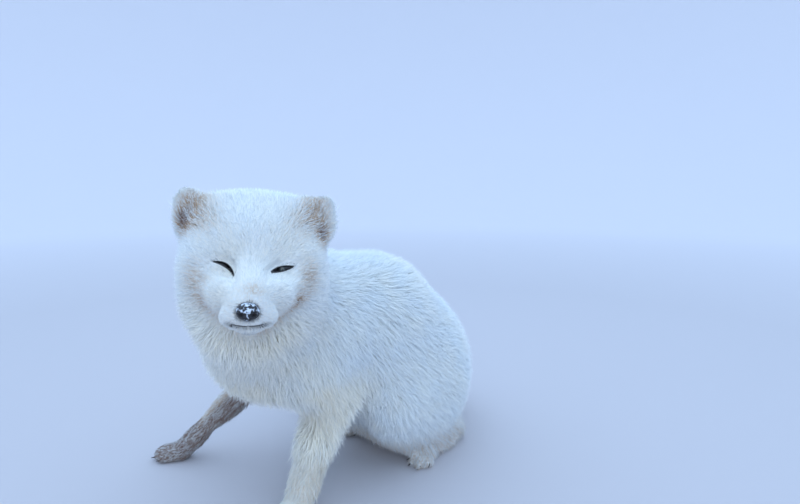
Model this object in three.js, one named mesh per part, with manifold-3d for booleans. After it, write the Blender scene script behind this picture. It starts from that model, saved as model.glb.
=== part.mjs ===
// Arctic fox in winter coat, a still life-size model: it sits low on its haunches, turns its head to its
// left and reaches out with its right foreleg. The solids give the outline at the tips of the coat.
// Millimetres. +Z is up, -Y is the way the trunk faces and +X is the fox's left.
import * as THREE from "three";
import Module from "manifold-3d";
import { mergeVertices } from "three/addons/utils/BufferGeometryUtils.js";

// ---------------------------------------------------------------- driving dimensions
const EYE_SPACING = 48; // between the centres of the eyeballs
const EYE_RADIUS = 9;
const HEAD_AT = [107, -110, 299]; // midpoint of the eyes
const HEAD_TURN = 55; // degrees, to the fox's left
const HEAD_LIFT = 4; // degrees, nose up
const HEAD_LEAN = 3.3; // degrees, left side down
const BACK_HEIGHT = 290; // over the withers
const CHEST_HALF_WIDTH = 80;
const HAUNCH_HALF_WIDTH = 92;
const RUMP_AT = 204; // how far the rump's middle lies behind the chest's
const RUMP_HEIGHT = 222;
const RUMP_SINK = 20; // how far the floor presses in the fur under the rump
const TAIL_RADIUS = 45;
const CUT = 0.3; // gap left by each thin cut between two parts

// ---------------------------------------------------------------- distances to simple lobes
const RAD = Math.PI / 180;
const mix = (a, b, t) => a + (b - a) * t;
const clamp = (v, lo, hi) => Math.min(hi, Math.max(lo, v));

// Union of two distances with a fillet of about k.
function blend(a, b, k) {
  const h = Math.max(k - Math.abs(a - b), 0) / k;
  return Math.min(a, b) - (h * h * k) / 4;
}

// What is left of a after b is scooped out, with a rounded rim of about k.
const scoop = (a, b, k) => -blend(-a, b, k);

// A capsule whose radius runs from the first end's to the second's; an end is [x, y, z, radius].
function capsule(p, a, b) {
  const dx = b[0] - a[0];
  const dy = b[1] - a[1];
  const dz = b[2] - a[2];
  const along = (p[0] - a[0]) * dx + (p[1] - a[1]) * dy + (p[2] - a[2]) * dz;
  const t = clamp(along / (dx * dx + dy * dy + dz * dz), 0, 1);
  const away = Math.hypot(p[0] - a[0] - dx * t, p[1] - a[1] - dy * t, p[2] - a[2] - dz * t);
  return away - mix(a[3], b[3], t);
}

// Capsules one after another through a list of ends.
function chain(p, ends, k) {
  let d = capsule(p, ends[0], ends[1]);
  for (let i = 1; i < ends.length - 1; i++) d = blend(d, capsule(p, ends[i], ends[i + 1]), k);
  return d;
}

// An ellipsoid; turn is an optional rotation about its centre.
function egg(p, centre, radii, turn) {
  const q = new THREE.Vector3(p[0] - centre[0], p[1] - centre[1], p[2] - centre[2]);
  if (turn) q.applyQuaternion(turn);
  const near = Math.hypot(q.x / radii[0], q.y / radii[1], q.z / radii[2]);
  const slope = Math.hypot(q.x / radii[0] ** 2, q.y / radii[1] ** 2, q.z / radii[2] ** 2);
  return slope < 1e-9 ? -Math.min(...radii) : (near * (near - 1)) / slope;
}

// ---------------------------------------------------------------- the head, about the eyes' midpoint
// In the head's own frame the muzzle points along -Y, and +X is the fox's left.
const ORDER = "ZXY";
const turned = (x, y, z) =>
  new THREE.Quaternion().setFromEuler(new THREE.Euler(x * RAD, y * RAD, z * RAD, ORDER));
const placed = (at, turn) =>
  new THREE.Matrix4().compose(new THREE.Vector3(...at), turn, new THREE.Vector3(1, 1, 1));

const BODY = new THREE.Matrix4();
const HEAD = placed(HEAD_AT, turned(-HEAD_LIFT, HEAD_LEAN, HEAD_TURN));
const INTO_HEAD = HEAD.clone().invert();
const fromHead = (x, y, z) => new THREE.Vector3(x, y, z).applyMatrix4(HEAD).toArray();

const SIDES = [1, -1]; // left, right
const sideName = (side) => (side > 0 ? "left" : "right");

const NOSE_AT = [0, -65, -24.5];
const NOSE_RADII = [8.8, 8, 7.2];
const NOSTRIL_AT = 4.4; // from the middle of the nose
const EAR_AT = [54, 45, 38];
const EAR_RADII = [22, 10, 29];
const EAR_SPLAY = 14; // degrees, tips outwards
const EAR_FACING = 24; // degrees, hollows outwards
const EYE_SLANT = 20; // degrees, outer corners up
const EYE_OPENING = [9, 12, 2.6]; // half sizes of the gap between the lids

const earTurn = (side) => turned(0, side * EAR_SPLAY, side * EAR_FACING);
const EAR_TURNS = { 1: earTurn(1).invert(), "-1": earTurn(-1).invert() };

function earAt(p, side) {
  const turn = EAR_TURNS[side];
  const centre = [side * EAR_AT[0], EAR_AT[1], EAR_AT[2]];
  const hollow = [side * (EAR_AT[0] + 4), EAR_AT[1] - 11, EAR_AT[2] + 2];
  return scoop(egg(p, centre, EAR_RADII, turn), egg(p, hollow, [12, 7, 18], turn), 5);
}

function headAt(p) {
  let d = egg(p, [0, 36, 9], [57, 52, 47]);
  d = blend(d, egg(p, [0, 47, 32], [62, 35, 36]), 14);
  d = blend(d, capsule(p, [0, -2, -13, 27], [0, -55, -24, 14]), 22);
  d = blend(d, capsule(p, [0, 5, -32, 22], [0, -46, -36.5, 10]), 10);
  for (const side of SIDES) {
    d = blend(d, egg(p, [side * 32, 46, 38], [25, 28, 25]), 8);
    d = blend(d, egg(p, [side * 36, 34, -8], [28, 40, 34]), 16);
    d = blend(d, egg(p, [side * 26, 42, -34], [31, 36, 30]), 16);
    d = blend(d, egg(p, [side * 19, -10, -19], [19, 27, 17]), 12);
    d = blend(d, egg(p, [side * 10, -51, -31], [11.5, 13, 9.5]), 5);
    d = scoop(d, egg(p, [side * (EYE_SPACING / 2), -19, 1], [12, 9, 7]), 9);
  }
  d = blend(d, egg(p, NOSE_AT, NOSE_RADII), 2);
  for (const side of SIDES) {
    const nostril = [side * NOSTRIL_AT, NOSE_AT[1] - 9, NOSE_AT[2]];
    d = scoop(d, egg(p, nostril, [2, 3, 2]), 1);
  }
  return d;
}

// ---------------------------------------------------------------- the trunk and limbs
// Each limb runs through points [x, y, z, radius], from the trunk down.
const LEFT_FORELEG = [
  [40, -12, 177, 42],
  [42, 30, 124, 29],
  [37, 8, 80, 24],
  [34, -6, 36, 17.5],
  [33, -14, 13, 15],
];
const RIGHT_FORELEG = [
  [-36, -12, 174, 40],
  [-84, 22, 126, 22],
  [-124, -4, 82, 16],
  [-166, -33, 32, 12],
  [-182, -44, 12, 13],
];
const HIND_FOOT = [
  [54, 250, 19, 17],
  [60, 216, 15, 16],
  [63, 184, 12, 14],
];
// The tail rests on the floor, curled round to the right.
const TAIL = [
  [-6, 262, 66, 42],
  [-44, 308, TAIL_RADIUS - 1, TAIL_RADIUS - 1],
  [-98, 318, TAIL_RADIUS - 2, TAIL_RADIUS + 1],
  [-144, 278, TAIL_RADIUS - 3, TAIL_RADIUS],
  [-161, 222, 35, 38],
  [-160, 180, 21, 24],
];
const mirrored = (ends) => ends.map(([x, y, z, r]) => [-x, y, z, r]);
const LIMBS = [LEFT_FORELEG, RIGHT_FORELEG, HIND_FOOT, mirrored(HIND_FOOT)];

// Headings are in degrees from the front towards the fox's left.
const PAWS = [
  { name: "forepaw_left", middle: [33, -16], heading: 8 },
  { name: "forepaw_right", middle: [-184, -46], heading: -48 },
  { name: "hindfoot_left", middle: [64, 176], heading: 8 },
  { name: "hindfoot_right", middle: [-64, 176], heading: -8 },
];
const PALM = { height: 10, radius: 12 };
const TOES = [
  { spread: -34, reach: 20 },
  { spread: -12, reach: 27 },
  { spread: 12, reach: 27 },
  { spread: 34, reach: 20 },
];
const TOE = { height: 7, radius: 8.5 };
const CLAW = { length: 12, radius: 2.4, height: 6, sides: 5 };

const ahead = ([x, y], heading, reach) => [
  x + Math.sin(heading * RAD) * reach,
  y - Math.cos(heading * RAD) * reach,
];

function toesAt(p, { middle, heading }) {
  const palm = [...middle, PALM.height, PALM.radius];
  let d = Infinity;
  for (const { spread, reach } of TOES) {
    const tip = ahead(middle, heading + spread, reach);
    d = blend(d, capsule(p, palm, [...tip, TOE.height, TOE.radius]), 3);
  }
  return d;
}

function trunkAt(p) {
  let d = egg(p, [0, 6, BACK_HEIGHT - 78], [CHEST_HALF_WIDTH, 82, 78]);
  d = blend(d, egg(p, [0, -20, 180], [52, 50, 48]), 25);
  d = blend(d, chain(p, [[0, 50, 204, 83], [0, 126, 190, 84], [0, RUMP_AT, 126, 80]], 30), 30);
  d = blend(d, egg(p, [0, 105, 152], [76, 90, 62]), 30);
  const middle = (RUMP_HEIGHT - RUMP_SINK) / 2;
  d = blend(d, egg(p, [0, RUMP_AT, middle], [80, 88, RUMP_HEIGHT - middle]), 30);
  for (const side of SIDES) {
    d = blend(d, egg(p, [side * (HAUNCH_HALF_WIDTH - 46), 175, 96], [46, 84, 84]), 30);
    d = blend(d, egg(p, [side * 58, 118, 104], [30, 36, 40]), 40);
    d = blend(d, egg(p, [side * 34, 4, 194], [44, 56, 64]), 25);
  }
  return d;
}

const NAPE = [...fromHead(0, 54, -14), 60];
const THROAT = [...fromHead(-8, 38, -44), 46];
const NECK_ROOT = [4, -6, 210, 74];
const THROAT_ROOT = [-7, -33, 196, 58];

// Distance to the tips of the coat, all over the fox.
function coatAt(p) {
  const q = new THREE.Vector3(...p).applyMatrix4(INTO_HEAD).toArray();
  let d = blend(trunkAt(p), capsule(p, NAPE, NECK_ROOT), 26);
  d = blend(d, capsule(p, THROAT, THROAT_ROOT), 22);
  d = blend(d, headAt(q), 16);
  for (const side of SIDES) d = blend(d, earAt(q, side), 5);
  for (const limb of LIMBS) d = blend(d, chain(p, limb, 12), 13);
  for (const paw of PAWS) d = blend(d, toesAt(p, paw), 5);
  return blend(d, chain(p, TAIL, 16), 6);
}

// ---------------------------------------------------------------- from distances to solids
const wasm = await Module();
wasm.setup();

function solidFrom(geometry) {
  const bare = geometry.clone().deleteAttribute("normal").deleteAttribute("uv");
  const merged = mergeVertices(bare, 1e-4);
  const vertProperties = new Float32Array(merged.attributes.position.array);
  const triVerts = new Uint32Array(merged.index.array);
  return new wasm.Manifold(new wasm.Mesh({ numProp: 3, vertProperties, triVerts }));
}

function geometryFrom(solid) {
  const { vertProperties, triVerts } = solid.getMesh();
  return new THREE.BufferGeometry()
    .setAttribute("position", new THREE.BufferAttribute(new Float32Array(vertProperties), 3))
    .setIndex(new THREE.BufferAttribute(new Uint32Array(triVerts), 1));
}

// A box from corner lo to corner hi in a frame, grown by a margin on every side.
function boxIn(frame, lo, hi, margin = 0) {
  const size = hi.map((h, i) => h - lo[i] + 2 * margin);
  const middle = hi.map((h, i) => (h + lo[i]) / 2);
  const box = new THREE.BoxGeometry(...size).translate(...middle).applyMatrix4(frame);
  box.computeBoundingBox();
  return { solid: solidFrom(box), bounds: box.boundingBox };
}

// Puts a point of the surface where the distance is nought.
function settle(p, distance) {
  const e = 0.5;
  for (let pass = 0; pass < 2; pass++) {
    const d = distance(p);
    const slope = [0, 1, 2].map((i) => {
      const q = [...p];
      q[i] += e;
      return (distance(q) - d) / e;
    });
    const steep = slope[0] ** 2 + slope[1] ** 2 + slope[2] ** 2;
    if (steep < 0.1) return p;
    p = p.map((v, i) => v - (d * slope[i]) / steep);
  }
  return p;
}

// A cube's corners are numbered by their place, its edges by their two corners.
const corner = (n) => [n & 1, (n >> 1) & 1, n >> 2];
const CORNERS = [0, 1, 2, 3, 4, 5, 6, 7];
const edgeOf = (m, n) => 8 * Math.min(m, n) + Math.max(m, n);
const CUBE_EDGES = [];
for (const bit of [1, 2, 4]) {
  for (const n of CORNERS) {
    if (!(n & bit)) CUBE_EDGES.push([n, n | bit]);
  }
}
const CUBE_FACES = [];
for (let axis = 0; axis < 3; axis++) {
  for (const side of [0, 1]) {
    const across = 1 << ((axis + 1) % 3);
    const along = 1 << ((axis + 2) % 3);
    CUBE_FACES.push([0, across, across | along, along].map((n) => n | (side << axis)));
  }
}

// Crossed edges of a cube, each with a number shared by the edges on one sheet of the surface.
function sheetsIn(inside) {
  const crossed = (m, n) => inside[m] !== inside[n];
  const link = new Map();
  for (const [m, n] of CUBE_EDGES) if (crossed(m, n)) link.set(edgeOf(m, n), edgeOf(m, n));
  const root = (edge) => (link.get(edge) === edge ? edge : root(link.get(edge)));
  for (const face of CUBE_FACES) {
    const ring = face.map((n, i) => [n, face[(i + 1) % 4]]);
    const cut = ring.filter(([m, n]) => crossed(m, n)).map(([m, n]) => edgeOf(m, n));
    if (cut.length === 2) link.set(root(cut[0]), root(cut[1]));
    if (cut.length < 4) continue;
    face.forEach((n, i) => {
      const ends = [edgeOf(face[(i + 3) % 4], n), edgeOf(n, face[(i + 1) % 4])];
      if (inside[n]) link.set(root(ends[0]), root(ends[1]));
    });
  }
  return new Map([...link.keys()].map((edge) => [edge, root(edge)]));
}

// Surface net: a closed solid of the points inside bounds whose distance is below nought. Each
// cube of the grid gets one point for each sheet of the surface in it, and each crossed edge a face.
function netOf(distance, bounds, step) {
  const lo = bounds.min.toArray().map((v) => v - 1.5 * step);
  const last = bounds.max.toArray().map((v, i) => Math.ceil((v - lo[i]) / step + 1.5));
  const at = ([i, j, k]) => i + (last[0] + 1) * (j + (last[1] + 1) * k);
  const plus = (a, b) => [a[0] + b[0], a[1] + b[1], a[2] + b[2]];

  function eachNode(visit) {
    for (let k = 0; k < last[2]; k++) {
      for (let j = 0; j < last[1]; j++) {
        for (let i = 0; i < last[0]; i++) visit([i, j, k]);
      }
    }
  }

  // The outermost nodes stay outside, so that the net closes.
  const values = new Float32Array((last[0] + 1) * (last[1] + 1) * (last[2] + 1)).fill(step);
  eachNode((node) => {
    if (node.every((v) => v > 0)) values[at(node)] = distance(node.map((v, i) => lo[i] + v * step));
  });

  const points = [];
  function sheetPoint(cell, edges, value) {
    const sum = [0, 0, 0];
    for (const [m, n] of edges) {
      const share = value[m] / (value[m] - value[n]);
      for (let c = 0; c < 3; c++) sum[c] += mix(corner(m)[c], corner(n)[c], share);
    }
    const p = cell.map((v, c) => lo[c] + (v + sum[c] / edges.length) * step);
    const capped = cell.some((v, c) => v < 1 || v > last[c] - 2);
    points.push(...(capped ? p : settle(p, distance)));
    return points.length / 3 - 1;
  }

  const known = new Map();
  function pointAt(cell, edge) {
    const key = at(cell);
    if (!known.has(key)) {
      const value = CORNERS.map((n) => values[at(plus(cell, corner(n)))]);
      const sheets = sheetsIn(value.map((v) => v < 0));
      const pointOf = new Map();
      for (const sheet of new Set(sheets.values())) {
        const edges = CUBE_EDGES.filter(([m, n]) => sheets.get(edgeOf(m, n)) === sheet);
        pointOf.set(sheet, sheetPoint(cell, edges, value));
      }
      known.set(key, { sheets, pointOf });
    }
    const { sheets, pointOf } = known.get(key);
    return pointOf.get(sheets.get(edge));
  }

  const faces = [];
  const squared = (m, n) =>
    (points[3 * m] - points[3 * n]) ** 2 +
    (points[3 * m + 1] - points[3 * n + 1]) ** 2 +
    (points[3 * m + 2] - points[3 * n + 2]) ** 2;
  eachNode((node) => {
    for (let axis = 0; axis < 3; axis++) {
      const next = [...node];
      next[axis]++;
      const inside = values[at(node)] < 0;
      if (inside === values[at(next)] < 0) continue;
      const across = (axis + 1) % 3;
      const along = (axis + 2) % 3;
      const around = [[0, 0], [1, 0], [1, 1], [0, 1]].map(([b, c]) => {
        const cell = [...node];
        cell[across] -= b;
        cell[along] -= c;
        const start = (b << across) | (c << along);
        return pointAt(cell, edgeOf(start, start | (1 << axis)));
      });
      const [p, q, r, s] = inside ? around : around.reverse();
      faces.push(...(squared(p, r) < squared(q, s) ? [p, q, r, p, r, s] : [q, r, s, q, s, p]));
    }
  });
  const vertProperties = new Float32Array(points);
  const triVerts = new Uint32Array(faces);
  return new wasm.Manifold(new wasm.Mesh({ numProp: 3, vertProperties, triVerts }));
}

// ---------------------------------------------------------------- where the fox is parted
// A frame at a point whose +Z looks along a direction.
function frameAlong(point, direction) {
  const up = new THREE.Vector3(0, 0, 1);
  return placed(point, new THREE.Quaternion().setFromUnitVectors(up, direction.normalize()));
}
const between = (a, b) => new THREE.Vector3(b[0] - a[0], b[1] - a[1], b[2] - a[2]);

const neckFrame = frameAlong(NAPE.slice(0, 3), between(NAPE, NECK_ROOT));
const elbow = RIGHT_FORELEG[1];
const rightLegFrame = frameAlong(elbow.slice(0, 3), between(elbow, RIGHT_FORELEG[3]));
const earFrame = (side) =>
  HEAD.clone().multiply(placed([side * 46, EAR_AT[1], 34], turned(0, side * 34, 0)));
const jawFrame = HEAD.clone().multiply(placed([0, -60, -38], turned(-6, 0, 0)));

// Each part is what the coat fills of its own box, less the boxes of the parts before it.
const PARTS = [
  { name: "nose", frame: HEAD, lo: [-12, -90, -35], hi: [12, -61, -12], step: 4.2 },
  { name: "jaw", frame: jawFrame, lo: [-34, -20, -40], hi: [34, 34, 0], step: 7 },
  { name: "muzzle", frame: HEAD, lo: [-40, -90, -70], hi: [40, -26, 30], step: 6 },
  ...SIDES.map((side) => ({
    name: "ear_" + sideName(side),
    frame: earFrame(side),
    lo: [side > 0 ? -16 : -50, -26, 0],
    hi: [side > 0 ? 50 : 16, 26, 60],
    step: 7.5,
  })),
  { name: "head", frame: neckFrame, lo: [-110, -110, -130], hi: [110, 110, 10], step: 11.2 },
  { name: "neck", frame: neckFrame, lo: [-130, -130, 10], hi: [130, 130, 56], step: 16 },
  { name: "forepaw_left", frame: BODY, lo: [-5, -60, 0], hi: [75, 8, 28], step: 9, claws: 0 },
  { name: "forepaw_right", frame: BODY, lo: [-230, -90, 0], hi: [-158, -15, 26], step: 9, claws: 1 },
  { name: "foreleg_left", frame: BODY, lo: [3, -60, 28], hi: [95, 82, 114], step: 15 },
  { name: "foreleg_right", frame: rightLegFrame, lo: [-60, -60, 12], hi: [60, 60, 160], step: 13 },
  ...SIDES.map((side, i) => ({
    name: "hindfoot_" + sideName(side),
    frame: BODY,
    lo: [side > 0 ? 40 : -92, 120, 0],
    hi: [side > 0 ? 92 : -40, 266, 27],
    step: 12,
    claws: 2 + i,
  })),
  { name: "tail_tip", frame: BODY, lo: [-230, 130, 0], hi: [-104, 240, 100], step: 15 },
  { name: "tail_middle", frame: BODY, lo: [-230, 240, 0], hi: [-78, 380, 110], step: 17 },
  { name: "tail_root", frame: BODY, lo: [-78, 272, 0], hi: [60, 380, 122], step: 17 },
  ...SIDES.map((side) => ({
    name: "thigh_" + sideName(side),
    frame: BODY,
    lo: [side > 0 ? 48 : -103, 84, 0],
    hi: [side > 0 ? 103 : -48, 300, 172],
    step: 20,
  })),
  { name: "chest", frame: BODY, lo: [-150, -180, 0], hi: [150, 84, 330], step: 20 },
  { name: "loin", frame: BODY, lo: [-150, 84, 0], hi: [150, 164, 330], step: 21 },
  { name: "rump", frame: BODY, lo: [-150, 164, 0], hi: [150, 330, 330], step: 21 },
];

// The fox's own extent, which bounds each net.
const EXTENT = new THREE.Box3(new THREE.Vector3(-225, -215, -4), new THREE.Vector3(175, 372, 376));

function clawsOf({ middle, heading }) {
  return TOES.map(({ spread, reach }) => {
    const way = heading + spread / 2;
    const [x, y] = ahead(middle, heading + spread, reach + TOE.radius - 1);
    const claw = new THREE.ConeGeometry(CLAW.radius, CLAW.length, CLAW.sides)
      .rotateX(190 * RAD)
      .rotateZ(way * RAD)
      .translate(x, y, CLAW.height);
    return solidFrom(claw);
  });
}

const eyeAt = (side) => [(side * EYE_SPACING) / 2, -2, 0];
const ball = (radius) => new THREE.SphereGeometry(radius, 12, 8).rotateX(90 * RAD);

// The ball's socket and the gap between the lids, in front of it.
function eyeHoles(side) {
  const [x, y, z] = eyeAt(side);
  const socket = ball(EYE_RADIUS + CUT).translate(x, y, z).applyMatrix4(HEAD);
  const lids = new THREE.SphereGeometry(1, 10, 6)
    .scale(...EYE_OPENING)
    .rotateY(-side * EYE_SLANT * RAD)
    .translate(x, y - EYE_RADIUS, z)
    .applyMatrix4(HEAD);
  return [solidFrom(socket), solidFrom(lids)];
}

// ---------------------------------------------------------------- materials and meshes
const finish = (color, roughness = 0.9) =>
  new THREE.MeshStandardMaterial({ color, roughness, metalness: 0, flatShading: true });
const COAT = finish(0xe6e8ea);
const EAR_COAT = finish(0xc9c3bd);
const LEG_COAT = finish(0xd6d0c4);
const WET_COAT = finish(0x8f8176);
const NOSE_LEATHER = finish(0x1d1c1f, 0.45);
const EYE_SURFACE = finish(0x2a1d12, 0.1);
const FINISHES = {
  nose: NOSE_LEATHER,
  ear_left: EAR_COAT,
  ear_right: EAR_COAT,
  foreleg_left: COAT,
  foreleg_right: WET_COAT,
  forepaw_left: LEG_COAT,
  forepaw_right: WET_COAT,
  hindfoot_left: LEG_COAT,
  hindfoot_right: LEG_COAT,
};

const fox = new THREE.Group();

function addMesh(name, solid, material) {
  const mesh = new THREE.Mesh(geometryFrom(solid), material);
  mesh.name = name;
  fox.add(mesh);
}

const largest = (solid) =>
  solid.decompose().reduce((a, b) => (b.volume() > a.volume() ? b : a));

const ABOVE_FLOOR = boxIn(BODY, [-500, -500, 0], [500, 500, 500]).solid;
const taken = [];
for (const part of PARTS) {
  const { solid: cell, bounds } = boxIn(part.frame, part.lo, part.hi);
  let solid = netOf(coatAt, bounds.intersect(EXTENT), part.step).intersect(cell);
  for (const other of taken) solid = solid.subtract(other);
  const holes = part.name === "head" ? SIDES.flatMap(eyeHoles) : [];
  for (const hole of holes) solid = solid.subtract(hole);
  solid = largest(solid.intersect(ABOVE_FLOOR));
  const claws = part.claws === undefined ? [] : clawsOf(PAWS[part.claws]);
  for (const claw of claws) solid = solid.add(claw);
  addMesh(part.name, solid, FINISHES[part.name] ?? COAT);
  taken.push(boxIn(part.frame, part.lo, part.hi, CUT).solid);
}

for (const side of SIDES) {
  const eye = ball(EYE_RADIUS).translate(...eyeAt(side)).applyMatrix4(HEAD);
  addMesh("eye_" + sideName(side), solidFrom(eye), EYE_SURFACE);
}

// The origin is on the floor, under the middle of the fox's box.
const extent = new THREE.Box3().setFromObject(fox, true);
const middle = extent.getCenter(new THREE.Vector3());
fox.position.set(-middle.x, -middle.y, -extent.min.z);

export default fox;
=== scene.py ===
from collections import namedtuple
from math import cos, pi, radians, sin

import bmesh
import bpy
import numpy as np
from mathutils import Matrix, Vector
from mathutils.bvhtree import BVHTree
from mathutils.kdtree import KDTree


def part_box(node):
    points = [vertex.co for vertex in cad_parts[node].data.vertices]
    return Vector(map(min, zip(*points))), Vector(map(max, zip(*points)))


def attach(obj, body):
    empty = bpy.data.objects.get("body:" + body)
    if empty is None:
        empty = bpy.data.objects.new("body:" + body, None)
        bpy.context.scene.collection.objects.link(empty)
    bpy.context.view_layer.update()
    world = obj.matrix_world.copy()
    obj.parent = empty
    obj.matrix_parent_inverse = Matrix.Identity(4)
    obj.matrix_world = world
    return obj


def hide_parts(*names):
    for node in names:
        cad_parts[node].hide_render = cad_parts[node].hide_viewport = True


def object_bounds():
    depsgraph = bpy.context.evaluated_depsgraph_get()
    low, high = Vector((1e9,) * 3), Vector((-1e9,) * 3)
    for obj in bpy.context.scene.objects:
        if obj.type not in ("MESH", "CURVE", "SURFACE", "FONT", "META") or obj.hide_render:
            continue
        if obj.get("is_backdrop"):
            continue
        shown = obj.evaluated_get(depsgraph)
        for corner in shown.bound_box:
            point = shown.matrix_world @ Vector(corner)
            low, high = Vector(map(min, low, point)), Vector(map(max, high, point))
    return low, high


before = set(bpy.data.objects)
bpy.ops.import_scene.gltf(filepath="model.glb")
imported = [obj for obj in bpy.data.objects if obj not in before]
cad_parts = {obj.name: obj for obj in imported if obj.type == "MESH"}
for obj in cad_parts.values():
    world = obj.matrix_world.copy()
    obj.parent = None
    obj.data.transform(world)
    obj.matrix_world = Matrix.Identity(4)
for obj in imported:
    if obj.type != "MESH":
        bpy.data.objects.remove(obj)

cad_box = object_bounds()

# An arctic fox in its winter coat. One skin carries lids, lips and ear hollows, and about 200,000 small solid
# tufts grow out of it. Each lies along the body and ends near the outline that the solids give.
#
# Shapes are worked out in the fox's own frame, in millimetres and degrees: +Z up, -Y the way the trunk faces,
# +X its left. The head has a frame of its own, about the middle of the eyes, with the muzzle along -Y.
MM = 0.001
HEAD_AT = (107, -110, 299)
HEAD_TURN = 55
HEAD_LIFT = 4
HEAD_LEAN = 3.3
EYE_SIDE = 24
EYE_BACK = -2
EYE_RADIUS = 9.0
SIDES = {"left": 1, "right": -1}


def turned(x=0, y=0, z=0):
    """Turns about Y, then X, then Z, in degrees."""
    turn = Matrix.Rotation(radians(z), 4, "Z") @ Matrix.Rotation(radians(x), 4, "X")
    return turn @ Matrix.Rotation(radians(y), 4, "Y")


HEAD = Matrix.Translation(HEAD_AT) @ turned(-HEAD_LIFT, HEAD_LEAN, HEAD_TURN)


def middle_of(node):
    low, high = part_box(node)
    return (low + high) / 2


EYES_AT = (middle_of("eye_left") + middle_of("eye_right")) / 2
SHIFT = np.array(EYES_AT / MM - HEAD @ Vector((0, EYE_BACK, 0)))
ROW = Matrix.Scale(MM, 4) @ Matrix.Translation(SHIFT.tolist())


def placed(matrix, points):
    """Points, one a row, moved by a matrix."""
    m = np.array(matrix)
    return np.asarray(points, float) @ m[:3, :3].T + m[:3, 3]


def in_head(points):
    return placed(HEAD.inverted(), points)


def from_head(*point):
    return tuple(HEAD @ Vector(point))


# ------------------------------------------------------------------ camera, floor and light
LENS = 24
SENSOR = 36
CAMERA_AT = (489.8, -352.8, 370)
CAMERA_HEADING = 42
CAMERA_DROP = 7.5
# The floor, in metres: how far it is flat, then how high it sweeps up, and in how many rings.
FLOOR_RADIUS = 3.5
FLOOR_RISE = 3
FLOOR_RINGS = 12
FLOOR_SEGMENTS = 96
# Its colour by the fox and far away, and how the share of the second grows with each metre.
FLOOR_NEAR = (0.50, 0.475, 0.49, 1)
FLOOR_FAR = (0.66, 0.63, 0.65, 1)
FLOOR_GRADE = (0.4, -0.5)
SKY_COLOUR = (0.51, 0.71, 1.0, 1)
SKY_STRENGTH = 1.8
BOUNCES = 8
# Each lamp's place in the fox's frame, its size in metres, its watts and its colour.
LAMPS = {
    "sky": ((100, -100, 1900), 2.6, 3, (0.92, 0.96, 1.0)),
    "side": ((1500, -1300, 900), 1.5, 7, (0.95, 0.97, 1.0)),
}
LAMP_AIM = (40, 0, 170)


def fresh_object(name, data):
    piece = bpy.data.objects.new(name, data)
    bpy.context.collection.objects.link(piece)
    return piece


def add_camera():
    data = bpy.data.cameras.new("camera")
    data.lens = LENS
    data.sensor_width = SENSOR
    data.sensor_fit = "HORIZONTAL"
    camera = fresh_object("camera", data)
    place = Matrix.Translation(ROW @ Vector(CAMERA_AT))
    camera.matrix_world = place @ turned(x=90 - CAMERA_DROP, z=CAMERA_HEADING)
    bpy.context.scene.camera = camera


def add_floor():
    """A pale sheet that lies flat under the fox and sweeps up far away from it, all round."""
    bm = bmesh.new()
    bmesh.ops.create_circle(bm, cap_ends=True, radius=FLOOR_RADIUS, segments=FLOOR_SEGMENTS)
    rim = [e for e in bm.edges if e.is_boundary]
    for rise in range(1, FLOOR_RINGS + 1):
        angle = rise * pi / (2 * FLOOR_RINGS)
        ring = bmesh.ops.extrude_edge_only(bm, edges=rim)["geom"]
        verts = [g for g in ring if isinstance(g, bmesh.types.BMVert)]
        rim = [g for g in ring if isinstance(g, bmesh.types.BMEdge)]
        for vert in verts:
            outward = vert.co.xy.normalized() * (FLOOR_RADIUS + FLOOR_RISE * sin(angle))
            vert.co = (outward.x, outward.y, FLOOR_RISE * (1 - cos(angle)))
    mesh = bpy.data.meshes.new("floor")
    bm.to_mesh(mesh)
    bm.free()
    mesh.shade_smooth()
    floor = fresh_object("floor", mesh)
    material, tree, shader = new_material("floor_paper", 0.9, 0.5)
    away = tree.nodes.new("ShaderNodeVectorMath")
    away.operation = "LENGTH"
    tree.links.new(tree.nodes.new("ShaderNodeTexCoord").outputs["Object"], away.inputs[0])
    far = maths(tree, "MULTIPLY_ADD", away.outputs["Value"], *FLOOR_GRADE, clamp=True)
    tree.links.new(mix_colours(tree, far, FLOOR_NEAR, FLOOR_FAR), shader.inputs["Base Color"])
    mesh.materials.append(material)
    floor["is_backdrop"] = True


def add_lamp(name, at, size, watts, colour):
    """A soft round lamp that shines on the fox's middle."""
    data = bpy.data.lights.new(name, "AREA")
    data.shape = "DISK"
    data.size = size
    data.energy = watts
    data.color = colour
    lamp = fresh_object(name, data)
    place = ROW @ Vector(at)
    aim = ROW @ Vector(LAMP_AIM) - place
    lamp.matrix_world = Matrix.Translation(place) @ aim.to_track_quat("-Z", "Y").to_matrix().to_4x4()


def add_sky():
    """Even light from all round, as on snow under cloud, and two large soft lamps."""
    world = bpy.data.worlds.new("studio")
    world.use_nodes = True
    background = world.node_tree.nodes["Background"]
    background.inputs["Color"].default_value = SKY_COLOUR
    background.inputs["Strength"].default_value = SKY_STRENGTH
    bpy.context.scene.world = world
    bpy.context.scene.cycles.diffuse_bounces = BOUNCES
    for name, lamp in LAMPS.items():
        add_lamp(name, *lamp)


# ------------------------------------------------------------------ how the coat lies
# A guide is a stretch of the body that the hair follows. Within its reach the coat has its depth, with tufts
# of its length and width, their tips drawn together into locks by its share. Hair runs from start to end, or
# where there is a source, away from it.
Guide = namedtuple("Guide", "region start end reach depth length width lock source")
Coat = namedtuple("Coat", "flow depth length width lock region")
SNOUT = (0, -75, -24)
FALL_OFF = 3


def guide(region, start, end, reach, depth, length, width, lock=0.15, source=None):
    return Guide(region, start, end, reach, depth, length, width, lock, source)


def head_guide(region, start, end, reach, depth, length, width, lock=0.1, source=SNOUT):
    source = from_head(*source) if source else None
    return Guide(region, from_head(*start), from_head(*end), reach, depth, length, width, lock, source)


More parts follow.
